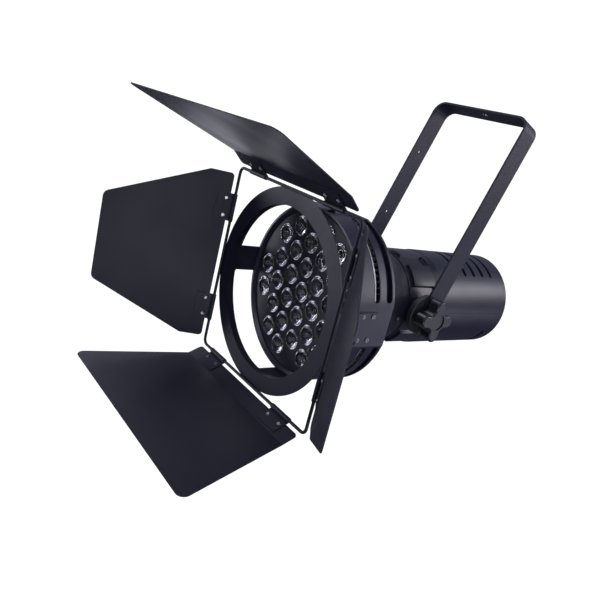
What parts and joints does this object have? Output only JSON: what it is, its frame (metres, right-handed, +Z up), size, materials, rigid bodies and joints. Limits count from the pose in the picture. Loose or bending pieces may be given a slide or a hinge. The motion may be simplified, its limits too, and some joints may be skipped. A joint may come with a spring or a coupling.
{
  "type": "LED exhibition spotlight",
  "caption": "Round LED spotlight head with a bell-shaped neck and long rear casing, held in a bent strap yoke by two clamp knobs, with a four-leaf barn door on its front ring.",
  "frame": {"origin": "centre of the hanging hole, on the top face of the yoke crossbar", "axes": "+Z up out of the crossbar, -Y the way the lamp points, +X the lamp's left, along the tilt pivot"},
  "size_m": [0.4573, 0.5916, 0.5451],
  "materials": {
    "housing_black": "satin powder coat",
    "casting_black": "satin powder coat",
    "yoke_black": "satin powder coat",
    "door_black": "matt powder coat",
    "rivet_steel": "satin",
    "knob_black": "fine grained",
    "zinc_steel": "zinc plated",
    "black_screw": "black oxide",
    "lens_clear": "clear moulded acrylic",
    "lens_plate_black": "matt",
    "led_board_white": "solder mask",
    "led_emitter": "clear silicone over phosphor",
    "heat_sink_aluminium": "as extruded",
    "fan_plastic": "matt",
    "bush_brass": "turned",
    "friction_fibre": "matt",
    "display_dark": "gloss",
    "connector_black": "matt",
    "connector_blue": "matt",
    "button_grey": "matt",
    "circuit_green": "solder mask",
    "switch_black": "matt",
    "chassis_zinc": "zinc plated sheet",
    "driver_case": "anodised"
  },
  "bodies": {
    "yoke": {"yoke": "yoke_black", "yoke_washers": "zinc_steel"},
    "head": {"arm_screws": "black_screw", "bell_neck": "casting_black", "casing_bottom": "housing_black", "casing_pillars": "zinc_steel", "casing_top": "housing_black", "chassis_plate": "chassis_zinc", "control_board": "circuit_green", "data_inlet": "connector_black", "data_outlet": "connector_black", "display_window": "display_dark", "fan_frame": "fan_plastic", "fan_screws": "zinc_steel", "friction_discs": "friction_fibre", "front_rim": "housing_black", "head_drum": "housing_black", "heat_sink": "heat_sink_aluminium", "led_board": "led_board_white", "led_chips": "led_emitter", "led_driver": "driver_case", "lens_plate": "lens_plate_black", "lens_plate_screws": "black_screw", "lenses": "lens_clear", "mid_casting": "casting_black", "neck_screws": "black_screw", "panel_screws": "black_screw", "power_inlet": "connector_blue", "power_outlet": "connector_black", "rear_panel": "casting_black", "ring_arm_bottom": "housing_black", "ring_arm_left": "housing_black", "ring_arm_right": "housing_black", "ring_arm_top": "housing_black", "socket_screws": "black_screw", "tact_switches": "switch_black", "threaded_bushes": "bush_brass"},
    "fan_rotor": {"fan_rotor": "fan_plastic"},
    "knob_left": {"clamp_knob_left": "knob_black", "clamp_stud_left": "zinc_steel"},
    "knob_right": {"clamp_knob_right": "knob_black", "clamp_stud_right": "zinc_steel"},
    "barn_door": {"front_ring": "door_black", "wire_frame": "door_black"},
    "button_1": {"menu_button_1": "button_grey"},
    "button_2": {"menu_button_2": "button_grey"},
    "button_3": {"menu_button_3": "button_grey"},
    "button_4": {"menu_button_4": "button_grey"},
    "leaf_left": {"leaf_left": "door_black", "leaf_clips_left": "door_black", "leaf_rivets_left": "rivet_steel"},
    "leaf_top": {"leaf_top": "door_black", "leaf_clips_top": "door_black", "leaf_rivets_top": "rivet_steel"},
    "leaf_right": {"leaf_right": "door_black", "leaf_clips_right": "door_black", "leaf_rivets_right": "rivet_steel"},
    "leaf_bottom": {"leaf_bottom": "door_black", "leaf_clips_bottom": "door_black", "leaf_rivets_bottom": "rivet_steel"}
  },
  "joints": [
    {"name": "head_tilt", "type": "hinge", "parent": "yoke", "child": "head", "pos_m": [0, 0, -0.283], "axis": [1, 0, 0], "range_deg": [-43.5, 81]},
    {"name": "fan_spin", "type": "hinge", "parent": "head", "child": "fan_rotor", "pos_m": [0, -0.08054, -0.31018], "axis": [0, -0.9475, -0.3198], "continuous": true},
    {"name": "knob_left_turn", "type": "hinge", "parent": "head", "child": "knob_left", "pos_m": [0.09, 0, -0.283], "axis": [1, 0, 0], "range_deg": [0, 360]},
    {"name": "knob_right_turn", "type": "hinge", "parent": "head", "child": "knob_right", "pos_m": [-0.09, 0, -0.283], "axis": [-1, 0, 0], "range_deg": [0, 360]},
    {"name": "barn_door_turn", "type": "hinge", "parent": "head", "child": "barn_door", "pos_m": [0, -0.18002, -0.34376], "axis": [0, -0.9475, -0.3198], "continuous": true},
    {"name": "leaf_left_fold", "type": "hinge", "parent": "barn_door", "child": "leaf_left", "pos_m": [0.1256, -0.1893, -0.33971], "axis": [0, 0.3198, -0.9475], "range_deg": [-23.3, 51.7]},
    {"name": "leaf_top_fold", "type": "hinge", "parent": "barn_door", "child": "leaf_top", "pos_m": [-0.0024, -0.22729, -0.22715], "axis": [1, 0, 0], "range_deg": [-54.1, 29.9]},
    {"name": "leaf_right_fold", "type": "hinge", "parent": "barn_door", "child": "leaf_right", "pos_m": [-0.1256, -0.18694, -0.34673], "axis": [0, -0.3198, 0.9475], "range_deg": [-50.2, 24.8]},
    {"name": "leaf_bottom_fold", "type": "hinge", "parent": "barn_door", "child": "leaf_bottom", "pos_m": [-0.0036, -0.14696, -0.46516], "axis": [-1, 0, 0], "range_deg": [-69.6, 14.4]},
    {"name": "menu_button_1_press", "type": "slide", "parent": "head", "child": "button_1", "axis": [0, -0.9475, -0.3198], "range_m": [0, 0.0008], "stiffness_N_per_m": 1500, "springref_m": -0.0004},
    {"name": "menu_button_2_press", "type": "slide", "parent": "head", "child": "button_2", "axis": [0, -0.9475, -0.3198], "range_m": [0, 0.0008], "stiffness_N_per_m": 1500, "springref_m": -0.0004},
    {"name": "menu_button_3_press", "type": "slide", "parent": "head", "child": "button_3", "axis": [0, -0.9475, -0.3198], "range_m": [0, 0.0008], "stiffness_N_per_m": 1500, "springref_m": -0.0004},
    {"name": "menu_button_4_press", "type": "slide", "parent": "head", "child": "button_4", "axis": [0, -0.9475, -0.3198], "range_m": [0, 0.0008], "stiffness_N_per_m": 1500, "springref_m": -0.0004}
  ]
}
